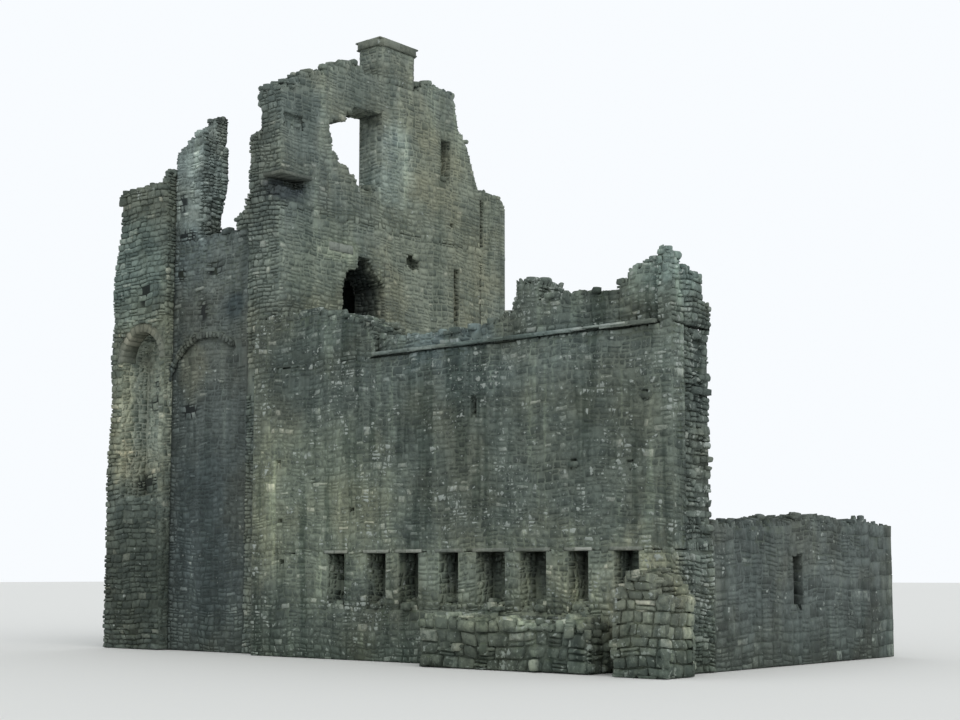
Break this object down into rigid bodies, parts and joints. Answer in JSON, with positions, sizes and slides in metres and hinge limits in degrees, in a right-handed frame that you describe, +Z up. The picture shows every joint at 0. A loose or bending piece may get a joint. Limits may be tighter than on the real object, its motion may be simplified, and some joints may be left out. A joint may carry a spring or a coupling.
{
  "type": "ruined castle keep",
  "caption": "Ruined stone castle keep: a front range with beam sockets, a tall broken cross wall with a chimney, and a vaulted west cell.",
  "frame": {"origin": "middle of the whole footprint at ground level", "axes": "+X along the front wall towards its torn right end, +Y back into the building, +Z up"},
  "size_m": [19.36, 10.84, 16.9],
  "materials": {
    "grey_rubble": "rough weathered rubble with lichen",
    "buff_rubble": "rough buff rubble, paler than the front",
    "core_rubble": "torn wall core, pale and coarse",
    "dark_rubble": "damp dark rubble",
    "dressed_stone": "worn pale dressed stone"
  },
  "bodies": {
    "root": {"front_foot": "grey_rubble", "socket_course": "grey_rubble", "front_wall": "grey_rubble", "socket_lintels": "dressed_stone", "string_course": "dressed_stone", "parapet_west": "grey_rubble", "parapet_middle": "grey_rubble", "parapet_east": "grey_rubble", "corner_peak": "grey_rubble", "end_tusks": "grey_rubble", "east_wall": "dark_rubble", "north_wall_west": "dark_rubble", "north_wall_east": "dark_rubble", "north_door_head": "dark_rubble", "north_stub": "buff_rubble", "cross_foot_south": "buff_rubble", "cross_foot_north": "buff_rubble", "cross_door_head": "buff_rubble", "cross_wall_middle": "buff_rubble", "door_stage_south": "buff_rubble", "door_stage_north": "buff_rubble", "door_stage_head": "buff_rubble", "door_lintel": "dressed_stone", "window_stage_south": "buff_rubble", "window_stage_north": "buff_rubble", "window_stage_head": "buff_rubble", "window_breast": "buff_rubble", "fireplace_hood": "dressed_stone", "chimney_stack": "buff_rubble", "chimney_cap": "dressed_stone", "return_stub": "buff_rubble", "cell_south_wall": "dark_rubble", "wall_spike": "dark_rubble", "vault_scar": "dark_rubble", "west_end_lower": "core_rubble", "west_end_upper": "core_rubble", "mural_arch": "dressed_stone", "west_wall": "dark_rubble", "cell_north_wall": "dark_rubble", "cell_vault": "dark_rubble", "upper_vault": "dark_rubble", "front_footing": "grey_rubble", "corner_stub": "grey_rubble"}
  },
  "joints": []
}
